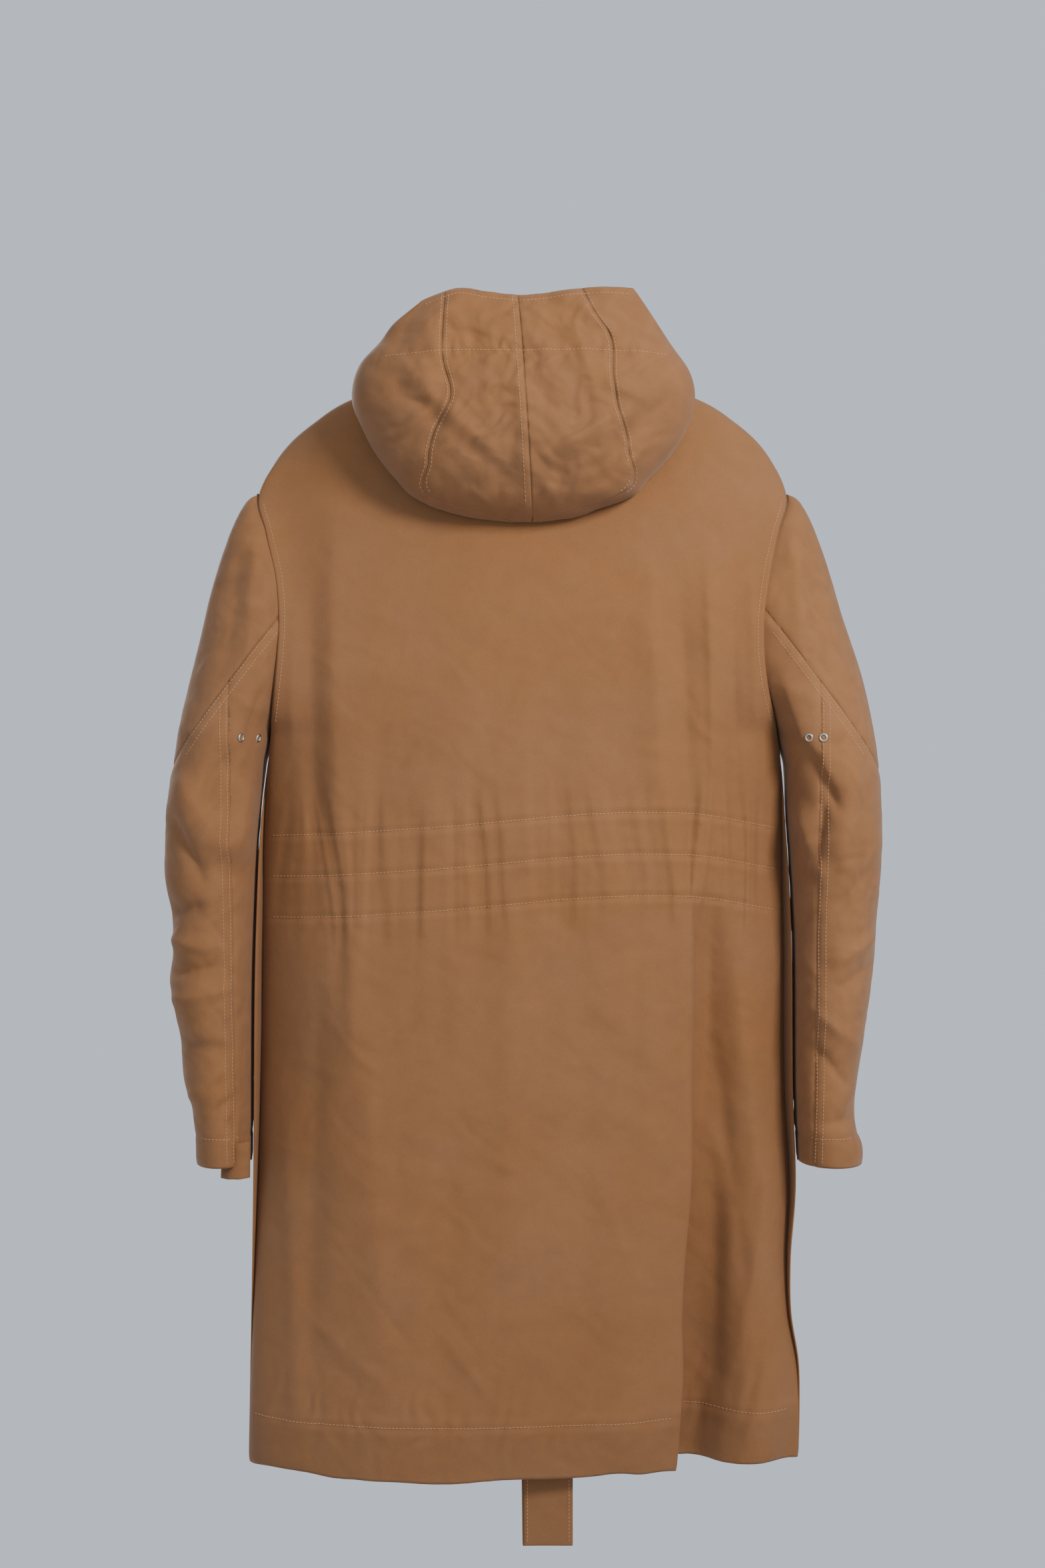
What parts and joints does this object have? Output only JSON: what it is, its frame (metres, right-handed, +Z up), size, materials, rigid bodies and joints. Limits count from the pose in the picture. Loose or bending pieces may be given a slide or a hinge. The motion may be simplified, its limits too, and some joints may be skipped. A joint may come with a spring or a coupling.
{
  "type": "hooded coat",
  "caption": "Long hooded cotton parka hung from its neck: folded-back hood, open zipped front with storm flap, gathered waist, sleeves and a hanging strap.",
  "frame": {"origin": "middle of the neck at the height where a hanger carries the shoulders", "axes": "+Z up from hem to neck, +Y out of the back, so the zipped front faces -Y and the wearer's left is +X"},
  "size_m": [0.668, 0.226, 1.143],
  "materials": {
    "tan_cotton": "matte",
    "zip_tape": "matte",
    "elastic": "matte",
    "pocketing": "matte",
    "dark_brass": "aged"
  },
  "bodies": {
    "coat_body": {"back_panel": "tan_cotton", "front_side_left": "tan_cotton", "front_side_right": "tan_cotton", "hem_facing_back": "tan_cotton", "waist_channel": "tan_cotton", "waist_elastic_upper": "elastic", "waist_elastic_lower": "elastic", "neck_facing": "tan_cotton", "hang_loop": "tan_cotton", "hood_stand": "tan_cotton", "strap_tack": "tan_cotton"},
    "sleeve_left": {"sleeve_left_cap": "tan_cotton", "sleeve_left_main": "tan_cotton", "sleeve_left_under": "tan_cotton", "cuff_facing_left": "tan_cotton", "cuff_tab_left": "tan_cotton", "eyelets_left": "dark_brass"},
    "sleeve_right": {"sleeve_right_cap": "tan_cotton", "sleeve_right_main": "tan_cotton", "sleeve_right_under": "tan_cotton", "cuff_facing_right": "tan_cotton", "eyelets_right": "dark_brass"},
    "hood": {"hood_crown_left": "tan_cotton", "hood_crown_right": "tan_cotton", "hood_side_left": "tan_cotton", "hood_side_right": "tan_cotton", "hood_rim_facing": "tan_cotton"},
    "front_left": {"front_panel_left": "tan_cotton", "front_facing_left": "tan_cotton", "hem_facing_left": "tan_cotton", "zip_tape_left": "zip_tape", "zip_chain_left": "dark_brass", "pocket_welt_left": "tan_cotton", "pocket_bag_left": "pocketing"},
    "front_right": {"front_panel_right": "tan_cotton", "front_facing_right": "tan_cotton", "hem_facing_right": "tan_cotton", "zip_tape_right": "zip_tape", "zip_chain_right": "dark_brass", "pocket_welt_right": "tan_cotton", "pocket_bag_right": "pocketing", "snap_studs": "dark_brass"},
    "storm_flap": {"storm_flap": "tan_cotton", "snap_caps": "dark_brass"},
    "zip_slider": {"zip_slider": "dark_brass"},
    "zip_pull": {"zip_pull": "dark_brass"},
    "strap": {"strap": "tan_cotton"}
  },
  "joints": [
    {"name": "sleeve_left_lift", "type": "hinge", "parent": "coat_body", "child": "sleeve_left", "pos_m": [0.2465, 0, -0.09], "axis": [0, -1, 0], "range_deg": [0, 45]},
    {"name": "sleeve_right_lift", "type": "hinge", "parent": "coat_body", "child": "sleeve_right", "pos_m": [-0.2465, 0, -0.09], "axis": [0, 1, 0], "range_deg": [0, 45]},
    {"name": "hood_raise", "type": "hinge", "parent": "coat_body", "child": "hood", "pos_m": [0, 0.054, 0.032], "axis": [1, 0, 0], "range_deg": [0, 95]},
    {"name": "front_left_open", "type": "hinge", "parent": "coat_body", "child": "front_left", "pos_m": [0.045, -0.048, 0.03], "axis": [-0.1605, 0.037, 0.9863], "range_deg": [0, 100]},
    {"name": "front_right_open", "type": "hinge", "parent": "coat_body", "child": "front_right", "pos_m": [-0.045, -0.048, 0.03], "axis": [-0.1605, -0.037, -0.9863], "range_deg": [0, 100]},
    {"name": "storm_flap_fold", "type": "hinge", "parent": "front_left", "child": "storm_flap", "pos_m": [0.062, -0.07056, -0.4999], "axis": [0, 0.0374, 0.9993], "range_deg": [0, 85]},
    {"name": "zip_slide", "type": "slide", "parent": "front_left", "child": "zip_slider", "axis": [0, 0.0374, 0.9993], "range_m": [0, 0.8]},
    {"name": "zip_pull_lift", "type": "hinge", "parent": "zip_slider", "child": "zip_pull", "pos_m": [0.031, -0.0829, -0.92253], "axis": [-1, 0, 0], "range_deg": [0, 150]},
    {"name": "strap_swing", "type": "hinge", "parent": "coat_body", "child": "strap", "pos_m": [-0.02, 0.047, -0.4684], "axis": [0, 1, 0], "range_deg": [-10, 7]}
  ]
}
